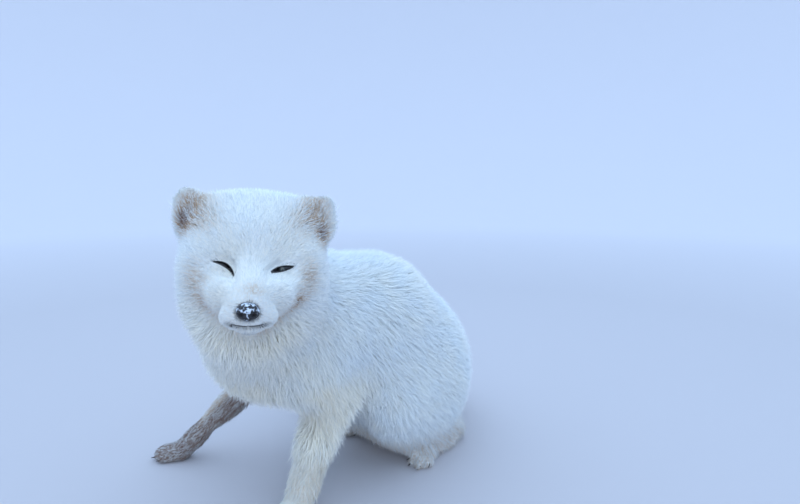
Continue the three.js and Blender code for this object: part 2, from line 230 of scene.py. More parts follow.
def both(make, region, start, end, *sizes, **more):
    """The same guide on the left and on the right, each in a region of its own."""
    for name, side in SIDES.items():
        a, b = [(side * x, y, z) for x, y, z in (start, end)]
        yield make(f"{region}_{name}", a, b, *sizes, **more)


LEFT_FORELEG = [(40, -12, 177), (42, 30, 124), (37, 8, 80), (34, -6, 36), (33, -14, 13)]
RIGHT_FORELEG = [(-36, -12, 174), (-84, 22, 126), (-124, -4, 82), (-166, -33, 32), (-182, -44, 12)]
HIND_FOOT = [(54, 250, 19), (60, 210, 14)]
TAIL = [(-6, 262, 66), (-44, 308, 44), (-98, 318, 43), (-144, 278, 42), (-161, 222, 35), (-160, 180, 21)]
# Reach, depth, length, width and lock of each stretch of a limb, from the body to its end.
LEFT_LEG_SIZES = [
    (42, 18, 36, 1.15, 0.4),
    (30, 14, 34, 1.15, 0.5),
    (22, 10, 30, 1.2, 0.5),
    (17, 6, 22, 1.05, 0.5),
]
RIGHT_LEG_SIZES = [
    (38, 15, 32, 1.15, 0.3),
    (21, 8, 24, 1.0, 0.4),
    (14, 5.5, 17, 0.9, 0.4),
    (12, 4, 12, 0.85, 0.4),
]
TAIL_SIZES = [(42, 28, 44, 1.4), *[(46, 30, 46, 1.4)] * 3, (34, 22, 38, 1.3)]
PAW_SIZES = (19, 3.8, 10, 0.85, 0.3)
HIND_FOOT_SIZES = (15, 6, 16, 0.9, 0.3)
# Where each paw stands and the way it points, then the height of its instep and of its toes and its length.
PAWS = {
    "forepaw_left": ((33, -16), 8),
    "forepaw_right": ((-184, -46), -48),
    "hindfoot_left": ((64, 176), 8),
    "hindfoot_right": ((-64, 176), -8),
}
INSTEP = 16
TOE_HEIGHT = 4
TOE_REACH = 34


def limb_guides(region, points, sizes):
    return [guide(region, a, b, *size) for a, b, size in zip(points, points[1:], sizes)]


def paw_guides():
    for region, ((x, y), heading) in PAWS.items():
        toe = (x + sin(radians(heading)) * TOE_REACH, y - cos(radians(heading)) * TOE_REACH, TOE_HEIGHT)
        yield guide(region, (x, y, INSTEP), toe, *PAW_SIZES)


GUIDES = [
    guide("back", (0, -40, 262), (0, 130, 232), 84, 26, 28, 1.08),
    guide("loin", (0, 130, 232), (0, 262, 120), 84, 26, 28, 1.08),
    guide("chest", (6, -70, 226), (10, -20, 128), 62, 26, 38, 1.12, 0.25),
    guide("belly", (0, 30, 150), (0, 150, 96), 52, 26, 38, 1.25, 0.25),
    guide("rump", (0, 230, 180), (0, 292, 40), 60, 26, 36, 1.3),
    guide("neck", from_head(0, 62, -6), (-8, 20, 236), 72, 24, 30, 1.05),
    guide("neck", from_head(0, 40, -50), (4, -50, 178), 54, 24, 34, 1.08, 0.2),
    *both(guide, "shoulder", (58, -20, 236), (54, 14, 140), 52, 24, 29, 1.05),
    *both(guide, "flank", (70, 60, 226), (84, 112, 130), 54, 25, 27, 1.08),
    *both(guide, "haunch", (72, 118, 170), (72, 206, 50), 60, 24, 27, 1.08),
    *both(guide, "haunch", (60, 100, 110), (60, 140, 30), 36, 22, 32, 1.15, 0.25),
    *both(guide, "hindfoot", *HIND_FOOT, *HIND_FOOT_SIZES),
    *limb_guides("foreleg_left", LEFT_FORELEG, LEFT_LEG_SIZES),
    *limb_guides("foreleg_right", RIGHT_FORELEG, RIGHT_LEG_SIZES),
    *limb_guides("tail", TAIL, TAIL_SIZES),
    *paw_guides(),
    head_guide("muzzle", (0, -72, -24), (0, -30, -20), 17, 2.4, 5.5, 0.52),
    head_guide("muzzle", (0, -60, -38), (0, -14, -40), 14, 2.8, 7, 0.6),
    head_guide("face", (0, -34, -8), (0, 12, 32), 30, 4.5, 8, 0.65),
    *both(head_guide, "face", (24, -14, -4), (24, -12, 6), 10, 1.6, 5, 0.5),
    *both(head_guide, "face", (20, -16, -6), (36, 6, 14), 20, 3.8, 8, 0.65),
    *both(head_guide, "face", (18, -26, -24), (34, 6, -20), 22, 5, 10, 0.7),
    head_guide("crown", (0, 22, 44), (0, 74, 42), 40, 9, 11, 0.85, 0.1),
    head_guide("crown", (0, 66, 36), (0, 92, 0), 36, 14, 22, 1.05, 0.2, source=None),
    *both(head_guide, "cheek", (44, 14, -8), (54, 50, 2), 34, 10, 15, 0.9, 0.15),
    *both(head_guide, "cheek", (34, 20, -36), (36, 66, -50), 34, 16, 24, 1.1, 0.2),
    *both(head_guide, "ear", (48, 46, 30), (60, 44, 68), 17, 3.8, 12, 0.8, source=None),
]
REGIONS = sorted({g.region for g in GUIDES})
SLOTS = {"ear": "ear_coat", "forepaw": "leg_coat", "hindfoot": "leg_coat"}
WET_REGIONS = ("foreleg_right", "forepaw_right")


def slot_of(region):
    return "wet_coat" if region in WET_REGIONS else SLOTS.get(region.split("_")[0], "coat")


def beside(points, start, end):
    """The way to each point from the nearest place of a stretch."""
    start, along = np.array(start), np.array(end) - np.array(start)
    share = np.clip((points - start) @ along / (along @ along), 0, 1)
    return points - start - share[:, None] * along


def toward(points, start, end):
    """Distance of each point from a stretch."""
    return np.linalg.norm(beside(points, start, end), axis=1)


def unit(vectors):
    return vectors / np.maximum(np.linalg.norm(vectors, axis=-1, keepdims=True), 1e-9)


def lie_of_coat(points):
    """How the coat lies at each point, blended from the guides near it."""
    nearness = [np.exp(-FALL_OFF * (toward(points, g.start, g.end) / g.reach) ** 2) + 1e-30 for g in GUIDES]
    nearness = np.stack(nearness, 1)
    nearness /= nearness.sum(1, keepdims=True)
    flow = np.zeros_like(points)
    for share, g in zip(nearness.T, GUIDES):
        way = np.subtract(g.end, g.start) if g.source is None else points - g.source
        flow += share[:, None] * unit(way)
    sizes = nearness @ [[g.depth, g.length, g.width, g.lock] for g in GUIDES]
    region = np.array([REGIONS.index(g.region) for g in GUIDES])[nearness.argmax(1)]
    return Coat(flow, *sizes.T, region)


# ------------------------------------------------------------------ the skin
# The outline: the size of its net, how far the solids swell to close their cuts, and how often it is evened.
VOXEL = 3.0
CUT_FILL = 0.22
EVENINGS = 14
EVEN = (0.5, -0.52)
BLUR = (0.5, 0.5)
# How far the net is cut finer round the middle of the face, and then round the lips and round each eye.
FACE_MIDDLE = (0, -30, -10)
FACE_FINE = 52
LIPS_MIDDLE = (0, -58, -30)
LIPS_AND_EYES_FINE = ((26, 18), (17, 13.5))
# The coat is no deeper than this share of the body behind it, and no thinner than this depth.
THIN_SHARE = 0.3
THIN_DEPTH = 0.5
THIN_START = 0.5
DEPTH_BLURS = 6
SINK_STEPS = 5
# The line through the face along which lids, lips and nose are shaped, and how far from it.
FACE_LINE = ((0, -70, -25), (0, 0, -5))
FACE_REACH = 70
# The lids: their thickness, the hair on them, where their dome ends, and where the coat on them is short.
LID = 1.2
LID_HAIR = 0.9
DOME_EDGE = (9, 14)
DOME_BLEND = 1.5
SHORT_HAIR_EDGE = (1.0, 7.5)
# The gap between the lids: how far its middle lies outward of the eye's, its half length and half height, its
# slant in degrees, how far its middle stands over the eye's, and how far it bows up.
Lids = namedtuple("Lids", "outward length height slant lift bow")
LIDS = {"left": Lids(1.1, 9.2, 1.5, 11.7, 1.4, 0.4), "right": Lids(-0.6, 10.0, 0.8, 27, 4.0, 3.2)}
# How full the gap is at its ends, how much lower outward, and how much more closed at its outer corner.
GAP_FULLNESS = 0.8
GAP_TAPER = 0.3
GAP_CLOSING = 0.9
# How deep the gap goes, over which distance, and the height, place and width of the rim round it.
GAP_DEPTH = 3.4
GAP_EDGE = (-0.15, 0.45)
GAP_RIM = (0.5, 0.9, 0.7)
# The nose pad: its middle and radii, how far back of its middle it counts, and the bed that it stands in.
NOSE_AT = np.array([0, -66, -25.5])
NOSE_RADII = np.array([8.2, 7.6, 6.8])
NOSE_BACK = 8
NOSE_BED = 1.5
NOSE_BED_EDGE = (-1.2, 0.6)
# The line of the mouth: its middle, how it bows and slopes, where it stops rising, and its half width.
MOUTH_AT = (0, -60, -38.5)
MOUTH_BOW = 0.014
MOUTH_SLOPE = 6
MOUTH_RISE_END = 17
MOUTH_WIDTH = 12
MOUTH_FADE = 7
MOUTH_BACK = (-34, -22)
LIP_EDGE = 0.4
# Depth and width of the groove between the lips, height, place and width of the upper lip, and the cleft.
GROOVE = (2.2, 0.8)
UPPER_LIP = (0.8, 1.9, 1.3)
CLEFT = (1.2, 0.8)
CLEFT_BACK = -56
# Hair keeps this far from the bare places: half the line of the mouth, how it narrows, the nose, and all.
BARE_LINE = 0.45
BARE_TAPER = 0.5
BARE_NOSE = 0.5
BARE_RIM = 1.1
# Nothing comes nearer to the floor than this, and what has no distance counts as far.
FLOOR_GAP = 0.2
FAR = 99.0


def joined_nodes():
    """All the solids in one mesh, swollen a little so that the thin cuts between them close."""
    bm = bmesh.new()
    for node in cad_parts.values():
        bm.from_mesh(node.data)
    bmesh.ops.remove_doubles(bm, verts=bm.verts, dist=1e-6)
    bm.normal_update()
    for vert in bm.verts:
        vert.co += vert.normal * CUT_FILL * MM
    mesh = bpy.data.meshes.new("nodes")
    bm.to_mesh(mesh)
    bm.free()
    return mesh


def remeshed(mesh):
    rough = fresh_object("rough", mesh)
    remesh = rough.modifiers.new("remesh", "REMESH")
    remesh.mode = "VOXEL"
    remesh.voxel_size = VOXEL * MM
    result = bpy.data.meshes.new_from_object(rough.evaluated_get(bpy.context.evaluated_depsgraph_get()))
    bpy.data.objects.remove(rough)
    return result


def array_of(collection, field, width, kind=float):
    values = np.zeros(len(collection) * width, np.float32 if kind is float else np.int32)
    collection.foreach_get(field, values)
    return values.reshape(-1, width).astype(kind)


def smoothed(points, edges, passes, weights=EVEN):
    """Points evened out along the edges; the second weight undoes the shrinking of the first."""
    a, b = edges.T
    size = len(points)
    count = np.bincount(a, minlength=size) + np.bincount(b, minlength=size)
    for weight in weights * passes:
        total = [np.bincount(a, c[b], size) + np.bincount(b, c[a], size) for c in points.T]
        points = points + weight * (np.stack(total, 1) / count[:, None] - points)
    return points


def normals_of(points, triangles):
    corners = points[triangles]
    face = np.cross(corners[:, 1] - corners[:, 0], corners[:, 2] - corners[:, 0])
    total = [np.bincount(triangles.ravel(), np.repeat(face[:, c], 3), len(points)) for c in range(3)]
    return unit(np.stack(total, 1))


def refine_face(mesh):
    """Cuts the faces of the skin ever smaller towards the eyes and lips."""
    bm = bmesh.new()
    bm.from_mesh(mesh)
    eyes = [Vector(from_head(side * EYE_SIDE, -12, 0)) for side in SIDES.values()]
    lips = Vector(from_head(*LIPS_MIDDLE))
    stages = [[(Vector(from_head(*FACE_MIDDLE)), FACE_FINE)]]
    for lips_fine, eye_fine in LIPS_AND_EYES_FINE:
        stages.append([(lips, lips_fine), *[(eye, eye_fine) for eye in eyes]])
    for stage in stages:
        middles = [(e, (e.verts[0].co + e.verts[1].co) / 2) for e in bm.edges]
        near = [e for e, middle in middles if any((middle - at).length < reach for at, reach in stage)]
        bmesh.ops.subdivide_edges(bm, edges=near, cuts=1, use_grid_fill=True)
    bm.to_mesh(mesh)
    bm.free()


def outer_skin():
    """The outline of the solids as one even mesh, in the fox's frame."""
    mesh = remeshed(joined_nodes())
    mesh.transform(ROW.inverted())
    edges = array_of(mesh.edges, "vertices", 2, int)
    even = smoothed(array_of(mesh.vertices, "co", 3), edges, EVENINGS)
    mesh.vertices.foreach_set("co", even.ravel())
    refine_face(mesh)
    return mesh


def step(low, high, values):
    """A soft step from nought at the low value to one at the high."""
    t = np.clip((values - low) / (high - low), 0, 1)
    return t * t * (3 - 2 * t)


def bell(values, middle, width):
    """One at the middle, falling softly to nought on both sides."""
    return np.exp(-(((values - middle) / width) ** 2))


def eye_gap(points, name):
    """Distance from the edge of the gap between the lids, seen from in front; below nought inside it."""
    lids = LIDS[name]
    turn = radians(lids.slant)
    across = SIDES[name] * points[:, 0] - EYE_SIDE - lids.outward
    along = across * cos(turn) + points[:, 2] * sin(turn)
    over = points[:, 2] * cos(turn) - across * sin(turn)
    share = np.clip(1 - (along / lids.length) ** 2, 0, 1)
    middle = lids.lift - lids.bow * (along / lids.length) ** 2
    corner = np.clip(along / lids.length, -1, 1)
    height = lids.height * share**GAP_FULLNESS * (1 - GAP_TAPER * corner)
    height = height - GAP_CLOSING * np.maximum(corner, 0) ** 2
    gap = np.maximum(np.abs(over - middle) - height, np.abs(along) - lids.length)
    return np.where(points[:, 1] < EYE_BACK, gap, FAR)


def with_lids(points):
    """Lifts the skin over each eyeball as a low dome, with a gap between the lids."""
    points = points.copy()
    for name, side in SIDES.items():
        aside = np.hypot(points[:, 0] - side * EYE_SIDE, points[:, 2])
        over_ball = (EYE_RADIUS + LID) ** 2 - np.minimum(aside, EYE_RADIUS) ** 2
        lead = points[:, 1] - EYE_BACK + np.sqrt(over_ball)
        front = points[:, 1] < EYE_BACK
        lift = (lead + np.hypot(lead, DOME_BLEND)) / 2 * (1 - step(*DOME_EDGE, aside))
        gap = eye_gap(points, name)
        rim, *place = GAP_RIM
        sunk = GAP_DEPTH * (1 - step(*GAP_EDGE, gap)) - rim * bell(gap, *place)
        points[:, 1] += (sunk - lift) * front
    return points


def above_mouth(points):
    """Height over the line of the mouth, which rises to its corners."""
    slope = radians(MOUTH_SLOPE)
    rise = MOUTH_BOW * np.minimum(points[:, 0] ** 2, MOUTH_RISE_END**2)
    return sin(slope) * (points[:, 1] - MOUTH_AT[1]) + cos(slope) * (points[:, 2] - MOUTH_AT[2] - rise)


def with_lips(points, normals):
    """Presses the line of the mouth in, with the upper lip hanging over it."""
    height = above_mouth(points)
    front = 1 - step(*MOUTH_BACK, points[:, 1])
    front = front * (1 - step(MOUTH_WIDTH, MOUTH_WIDTH + MOUTH_FADE, np.abs(points[:, 0])))
    groove = GROOVE[0] * bell(height, 0, GROOVE[1]) - UPPER_LIP[0] * bell(height, *UPPER_LIP[1:])
    cleft = CLEFT[0] * bell(points[:, 0], 0, CLEFT[1]) * step(0, 2, height) * (points[:, 1] < CLEFT_BACK)
    return points - normals * ((groove + cleft) * front)[:, None]


def from_nose(points):
    """Distance from the rim of the nose pad, seen from in front; below nought inside it."""
    aside = (points - NOSE_AT)[:, [0, 2]] / NOSE_RADII[[0, 2]]
    rim = (np.linalg.norm(aside, axis=1) - 1) * NOSE_RADII[2]
    return np.where(points[:, 1] < NOSE_AT[1] + NOSE_BACK, rim, FAR)


def with_nose_bed(points):
    """Leaves room for the nose pad, which stands out of the skin."""
    bed = NOSE_AT[1] + NOSE_BED
    sunk = 1 - step(*NOSE_BED_EDGE, from_nose(points))
    sunk = sunk * np.maximum(bed - points[:, 1], 0)
    return points + sunk[:, None] * [0, 1, 0]


def from_bare(points):
    """Distance from the nearest bare place: the gaps of the eyes, the nose pad or the line of the mouth."""
    head = in_head(points)
    past_line = np.maximum(np.abs(head[:, 0]) - MOUTH_WIDTH + 3, 0)
    mouth = np.abs(above_mouth(head) - LIP_EDGE) + BARE_TAPER * past_line
    mouth = np.where(head[:, 1] < MOUTH_BACK[0], mouth - BARE_LINE, FAR)
    return np.minimum.reduce([mouth, from_nose(head) + BARE_NOSE, *[eye_gap(head, name) for name in SIDES]])


def thickness_behind(points, normals, triangles):
    """How thick the body is behind each point."""
    tree = BVHTree.FromPolygons(points.tolist(), triangles.tolist())
    starts = (points - normals * THIN_START).tolist()
    through = [tree.ray_cast(start, way)[3] for start, way in zip(starts, (-normals).tolist())]
    return np.array([FAR if t is None else t for t in through])


def held_inside(points, outer, triangles):
    """Brings points that came too near the outline, or through it, back inside."""
    tree = BVHTree.FromPolygons(outer.tolist(), triangles.tolist())
    found = [tree.find_nearest(point) for point in points.tolist()]
    place = np.array([place for place, *_ in found])
    normal = np.array([normal for _, normal, *_ in found])
    over = ((points - place) * normal).sum(1) > -THIN_DEPTH
    points[over] = (place - normal * THIN_DEPTH)[over]
    return points


def inner_skin(outer, edges, triangles, depth):
    """The skin proper, the coat's depth inside the outline."""
    points = outer
    for _ in range(SINK_STEPS):
        normals = smoothed(normals_of(points, triangles), edges, 1)
        points = points - unit(normals) * depth[:, None] / SINK_STEPS
        points = smoothed(points, edges, 1)
    points = held_inside(points, outer, triangles)
    head = with_lids(in_head(points))
    normals = normals_of(points, triangles) @ np.array(HEAD)[:3, :3]
    head = with_nose_bed(with_lips(head, normals))
    near = toward(points, *[from_head(*end) for end in FACE_LINE]) < FACE_REACH
    points = np.where(near[:, None], placed(HEAD, head), points)
    points[:, 2] = np.maximum(points[:, 2], FLOOR_GAP)
    return points


def coat_over_lids(outer, inner, triangles):
    """The outline again, brought down to the short hair of the lids round each eye."""
    head = in_head(outer)
    short = inner + normals_of(inner, triangles) * LID_HAIR
    for name in SIDES:
        share = 1 - step(*SHORT_HAIR_EDGE, eye_gap(head, name))
        outer = outer + share[:, None] * (short - outer)
    return outer


# ------------------------------------------------------------------ markings and painted shade, shared by skin and coat
# A blot is a soft oval patch: its strength, its middle and its radii. Those of one side lie at +X.
# Stains of the face: a small one over the nose, then broad blots over the muzzle, the fox's right cheek and
# the forehead, which are painted shade with a faint warm grey tint.
FACE_STAINS_AND_SHADE = [
    (0.5, (3, -56, -11), (8, 9, 6)),
    (0.3, (0, -50, -26), (24, 24, 16)),
    (0.3, (-38, -6, -16), (20, 20, 18)),
    (0.12, (0, -10, 24), (40, 30, 18)),
]
SIDE_STAINS = [
    (0.6, (39, -7, -24.5), (10, 14, 8)),
    (0.6, (47, -2, -6), (9, 14, 14)),
]
# How strong the stains of each cheek are.
SIDE_SHARES = {"left": 1.0, "right": 0.5}
JAW_LINE = ((36, -13, -28), (12, -12, -51))
EAR_STAINS = {
    "left": (1.35, (63, 32, 30), (9, 14, 12)),
    "right": (1.35, (65, 38, 38), (9, 14, 12)),
}
EAR_HOLLOW = [
    (0.6, (54, 34, 58), (15, 16, 8)),
    (0.5, (54, 33, 44), (14, 14, 18)),
]
EAR_ROOT = [(0.5, (40, 24, 38), (17, 30, 14))]
# The stain of an ear ends between these places, sideways and towards its back.
EAR_OUTSIDE = (69, 76)
EAR_FRONT = (42, 56)
WET_LEG = RIGHT_FORELEG[1], RIGHT_FORELEG[3]
WET_ABOVE = (-0.6, 0, 0.8)
WET_PAW_AT = (-190, -54)
HEAD_CREAM = [
    (0.6, (0, 20, -70), (60, 60, 36)),
    (0.2, (0, 0, 0), (60, 60, 50)),
]
BODY_CREAM = [
    (0.6, (10, -60, 170), (70, 70, 70)),
    (0.7, (74, -4, 144), (16, 24, 12)),
]


def blots(points, rows):
    """All the blots of a list, added up."""
    return sum(much * np.exp(-(((points - centre) / radii) ** 2).sum(1)) for much, centre, radii in rows)


def side_stain(head, name):
    """Stain of one cheek, jaw and ear, for points that are mirrored so that this side lies at +X."""
    cheek = blots(head, SIDE_STAINS) + 0.65 * bell(toward(head, *JAW_LINE), 0, 9)
    ear = blots(head, [EAR_STAINS[name], *EAR_HOLLOW]) * (1 - 0.9 * step(*EAR_OUTSIDE, head[:, 0]))
    ear = (ear + blots(head, EAR_ROOT)) * (1 - step(*EAR_FRONT, head[:, 1]))
    return SIDE_SHARES[name] * cheek + ear


def leg_stain(points):
    """Stain of the wet right foreleg and its paw, of the left foreleg near the floor, and of the hind feet."""
    wet = (1 - step(24, 40, toward(points, *WET_LEG))) * (1 - step(96, 140, points[:, 2]))
    wet *= 1 - 0.45 * step(-2, 12, beside(points, *WET_LEG) @ WET_ABOVE)
    from_paw = np.hypot(points[:, 0] - WET_PAW_AT[0], points[:, 1] - WET_PAW_AT[1])
    paw = (1 - step(40, 58, from_paw)) * (points[:, 2] < 60)
    left = 0.3 * (1 - step(22, 34, toward(points, *LEFT_FORELEG[2:4]))) * (1 - step(20, 90, points[:, 2]))
    hind = 0.5 * (1 - step(10, 52, points[:, 2])) * step(70, 100, points[:, 1])
    return np.maximum(1.2 * wet, 1.2 * paw) + left + hind


def bare_dark_and_lip_shadow(head):
    """Dark rims of the lids and the nose, the line of the mouth, and a faint painted shadow under the lower
    lip.
    """
    rims = 1 - step(0.8, 1.15, np.minimum(eye_gap(head, "left"), eye_gap(head, "right")))
    rims = np.maximum(rims, 1 - step(0.0, 0.45, from_nose(head)))
    height, aside = above_mouth(head), np.abs(head[:, 0])
    line = 1 - step(1.1, 1.65, np.abs(height - LIP_EDGE))
    line *= 1 - step(MOUTH_WIDTH - 2, MOUTH_WIDTH + MOUTH_FADE, aside)
    # A faint painted shadow under the lower lip.
    line += 0.5 * bell(height, -6, 0.8) * (1 - step(4, 9, aside))
    return np.maximum(rims, 0.95 * line * (1 - step(-42, -34, head[:, 1])))


def markings(points):
    """Brown stain with painted shade on the face, from nought to 1.5 where it is wettest, and shares of cream
    and of dark skin with a painted shadow under the lower lip.
    """
    head = in_head(points)
    # The broad blots of the face paint shade into the stain.
    stain = blots(head, FACE_STAINS_AND_SHADE) + leg_stain(points)
    for name, side in SIDES.items():
        stain += side_stain(head * (side, 1, 1), name)
    cream = blots(points, BODY_CREAM) + blots(head, HEAD_CREAM)
    cream += 0.6 * (1 - step(16, 64, toward(points, LEFT_FORELEG[1], LEFT_FORELEG[3])))
    return [np.clip(stain, 0, 1.5), np.clip(cream, 0, 1), np.clip(bare_dark_and_lip_shadow(head), 0, 1)]


def add_marks(mesh, points, along, chance):
    """Stores stain with painted shade, cream, dark with painted shadow, and place along the hair, which sets
    the painted shade of the roots, on each vertex, and a random share.
    """
    marks = np.stack([*markings(points), along], 1).astype(np.float32)
    mesh.attributes.new("marks", "FLOAT_COLOR", "POINT").data.foreach_set("color", marks.ravel())
    mesh.attributes.new("chance", "FLOAT", "POINT").data.foreach_set("value", chance.astype(np.float32))


# ------------------------------------------------------------------ materials
# How fine each pattern is, as the scale of its noise or its cells.
PATCHES = 26
SPECKLE = 420
SKIN_GRAIN = 900
NOSE_CELLS = 1300
NOSE_TONES = 300
FROST_GRAIN = 460
IRIS_STREAKS = 900
HORN_TONES = 500


def socket(group, name, kind, default=None, out=False):
    item = group.interface.new_socket(name, in_out="OUTPUT" if out else "INPUT", socket_type=kind)
    if default is not None:
        item.default_value = default


def mix_colours(tree, factor, low, high):
    node = tree.nodes.new("ShaderNodeMix")
    node.data_type = "RGBA"
    for place, value in ((0, factor), (6, low), (7, high)):
        if isinstance(value, bpy.types.NodeSocket):
            tree.links.new(value, node.inputs[place])
        else:
            node.inputs[place].default_value = value
    return node.outputs[2]


def maths(tree, operation, *values, clamp=False):
    node = tree.nodes.new("ShaderNodeMath")
    node.operation = operation
    node.use_clamp = clamp
    for place, value in enumerate(values):
        if isinstance(value, bpy.types.NodeSocket):
            tree.links.new(value, node.inputs[place])
        else:
            node.inputs[place].default_value = value
    return node.outputs[0]


def noise(tree, scale, detail=3.0, vector=None):
    node = tree.nodes.new("ShaderNodeTexNoise")
    node.inputs["Scale"].default_value = scale
    node.inputs["Detail"].default_value = detail
    if vector is None:
        vector = tree.nodes.new("ShaderNodeTexCoord").outputs["Object"]
    tree.links.new(vector, node.inputs["Vector"])
    return node.outputs["Fac"]


def attribute(tree, name):
    node = tree.nodes.new("ShaderNodeAttribute")
    node.attribute_name = name
    return node


def fur_colours():
    """Shader group: the coat's colour from its markings, hair by hair."""
    group = bpy.data.node_groups.new("fur_colours", "ShaderNodeTree")
    socket(group, "White", "NodeSocketColor", (0.84, 0.91, 0.95, 1))
    socket(group, "Cream", "NodeSocketColor", (0.96, 0.92, 0.79, 1))
    socket(group, "Tan", "NodeSocketColor", (0.50, 0.33, 0.19, 1))
    socket(group, "Brown", "NodeSocketColor", (0.22, 0.135, 0.10, 1))
    socket(group, "Dark", "NodeSocketColor", (0.014, 0.012, 0.013, 1))
    socket(group, "Root shade", "NodeSocketFloat", 0.8)
    socket(group, "Streaks", "NodeSocketFloat", 0.22)
    socket(group, "Colour", "NodeSocketColor", out=True)
    given = group.nodes.new("NodeGroupInput").outputs
    result = group.nodes.new("NodeGroupOutput")
    marks = attribute(group, "marks")
    chance = attribute(group, "chance").outputs["Fac"]
    parts = group.nodes.new("ShaderNodeSeparateColor")
    group.links.new(marks.outputs["Color"], parts.inputs["Color"])
    stain, cream, dark = parts.outputs
    # Cream comes and goes in broad patches, and stain, with the painted shade of the face, shows as a fine
    # speckle, except where it is wet.
    patches = maths(group, "MULTIPLY_ADD", noise(group, PATCHES), 0.8, -0.3)
    cream = maths(group, "ADD", cream, maths(group, "MULTIPLY_ADD", chance, 0.3, patches), clamp=True)
    colour = mix_colours(group, cream, given["White"], given["Cream"])
    speckle = maths(group, "ADD", noise(group, SPECKLE, 2), maths(group, "MULTIPLY_ADD", chance, 0.7, -0.35))
    speckle = maths(group, "MULTIPLY_ADD", speckle, 5.5, -2.25, clamp=True)
    speckled = maths(group, "MULTIPLY", stain, maths(group, "ADD", speckle, 0.2))
    brown = maths(group, "MULTIPLY_ADD", stain, 2.5, -2.0, clamp=True)
    brown = mix_colours(group, brown, given["Tan"], given["Brown"])
    share = maths(group, "MAXIMUM", speckled, maths(group, "MULTIPLY_ADD", stain, 2.0, -2.0))
    colour = mix_colours(group, share, colour, brown)
    # Hair is darker towards its root, as painted shade of the hairs over it, and from one hair to the next.
    rest = maths(group, "SUBTRACT", 1.0, given["Root shade"])
    shade = maths(group, "MULTIPLY_ADD", marks.outputs["Alpha"], rest, given["Root shade"])
    streak = maths(group, "MULTIPLY_ADD", maths(group, "POWER", chance, 0.6), given["Streaks"], 1.0)
    shade = maths(group, "MULTIPLY", shade, maths(group, "SUBTRACT", streak, given["Streaks"]))
    deep = group.nodes.new("ShaderNodeVectorMath")
    deep.operation = "SCALE"
    group.links.new(colour, deep.inputs[0])
    group.links.new(shade, deep.inputs["Scale"])
    colour = mix_colours(group, dark, deep.outputs[0], given["Dark"])
    group.links.new(colour, result.inputs["Colour"])
    return group


def new_material(name, roughness, specular, **constants):
    material = bpy.data.materials.new(name)
    material.use_nodes = True
    shader = material.node_tree.nodes["Principled BSDF"]
    values = {"Roughness": roughness, "Specular IOR Level": specular, **constants}
    for field, value in values.items():
        shader.inputs[field.replace("_", " ")].default_value = value
    return material, material.node_tree, shader


def add_bump(tree, shader, height, strength, distance):
    bump = tree.nodes.new("ShaderNodeBump")
    bump.inputs["Strength"].default_value = strength
    bump.inputs["Distance"].default_value = distance
    tree.links.new(height, bump.inputs["Height"])
    tree.links.new(bump.outputs["Normal"], shader.inputs["Normal"])


def fur_material(name, colours, root_shade):
    material, tree, shader = new_material(name, 0.62, 0.25, Sheen_Weight=0.25, Sheen_Roughness=0.5)
    group = tree.nodes.new("ShaderNodeGroup")
    group.node_tree = colours
    group.inputs["Root shade"].default_value = root_shade
    tree.links.new(group.outputs["Colour"], shader.inputs["Base Color"])
    return material, tree, shader


def skin_material(colours):
    material, tree, shader = fur_material("skin", colours, 0.9)
    add_bump(tree, shader, noise(tree, SKIN_GRAIN, 4), 0.6, 0.0006)
    return material


def nose_material():
    """Black leather of small cells, with frost on parts of it."""
    material, tree, shader = new_material("nose_leather", 0.42, 0.3)
    cells = tree.nodes.new("ShaderNodeTexVoronoi")
    cells.inputs["Scale"].default_value = NOSE_CELLS
    tree.links.new(tree.nodes.new("ShaderNodeTexCoord").outputs["Object"], cells.inputs["Vector"])
    add_bump(tree, shader, cells.outputs["Distance"], 0.6, 0.0004)
    tone = mix_colours(tree, noise(tree, NOSE_TONES), (0.012, 0.012, 0.014, 1), (0.035, 0.034, 0.038, 1))
    grain = noise(tree, FROST_GRAIN, 6)
    frost = maths(tree, "MULTIPLY_ADD", attribute(tree, "frost").outputs["Fac"], 0.13, grain)
    frost = maths(tree, "MULTIPLY_ADD", frost, 9.0, -5.2, clamp=True)
    frosted = mix_colours(tree, frost, tone, (0.60, 0.67, 0.76, 1))
    tree.links.new(frosted, shader.inputs["Base Color"])
    tree.links.new(maths(tree, "MULTIPLY_ADD", frost, 0.5, 0.4), shader.inputs["Roughness"])
    return material


# Colours from the middle of the pupil outward, in shares of the eyeball's radius. The grey-green rings round
# the pupil are partly the iris and partly a painted reflection of the sky.
IRIS_AND_GLINT_RINGS = (
    (0.0, (0.004, 0.004, 0.005)),
    (0.06, (0.004, 0.004, 0.005)),
    (0.10, (0.07, 0.09, 0.08)),
    (0.18, (0.05, 0.065, 0.06)),
    (0.27, (0.008, 0.008, 0.008)),
    (0.9, (0.02, 0.018, 0.018)),
)


def eye_material():
    material, tree, shader = new_material("eye_wet", 0.15, 0.3, Coat_Weight=0.35, Coat_Roughness=0.05)
    # The ramp paints a reflection of the sky round the pupil into the iris.
    ramp = tree.nodes.new("ShaderNodeValToRGB")
    while len(ramp.color_ramp.elements) < len(IRIS_AND_GLINT_RINGS):
        ramp.color_ramp.elements.new(0.5)
    for element, (place, colour) in zip(ramp.color_ramp.elements, IRIS_AND_GLINT_RINGS):
        element.position = place
        element.color = (*colour, 1)
    tree.links.new(attribute(tree, "from_pupil").outputs["Fac"], ramp.inputs["Fac"])
    streaks = maths(tree, "MULTIPLY", noise(tree, IRIS_STREAKS), 0.3)
    streaked = mix_colours(tree, streaks, ramp.outputs["Color"], (0.0, 0.0, 0.0, 1))
    tree.links.new(streaked, shader.inputs["Base Color"])
    return material


def claw_material():
    material, tree, shader = new_material("claw_horn", 0.35, 0.5)
    tone = mix_colours(tree, noise(tree, HORN_TONES), (0.05, 0.043, 0.036, 1), (0.12, 0.10, 0.085, 1))
    tree.links.new(tone, shader.inputs["Base Color"])
    return material


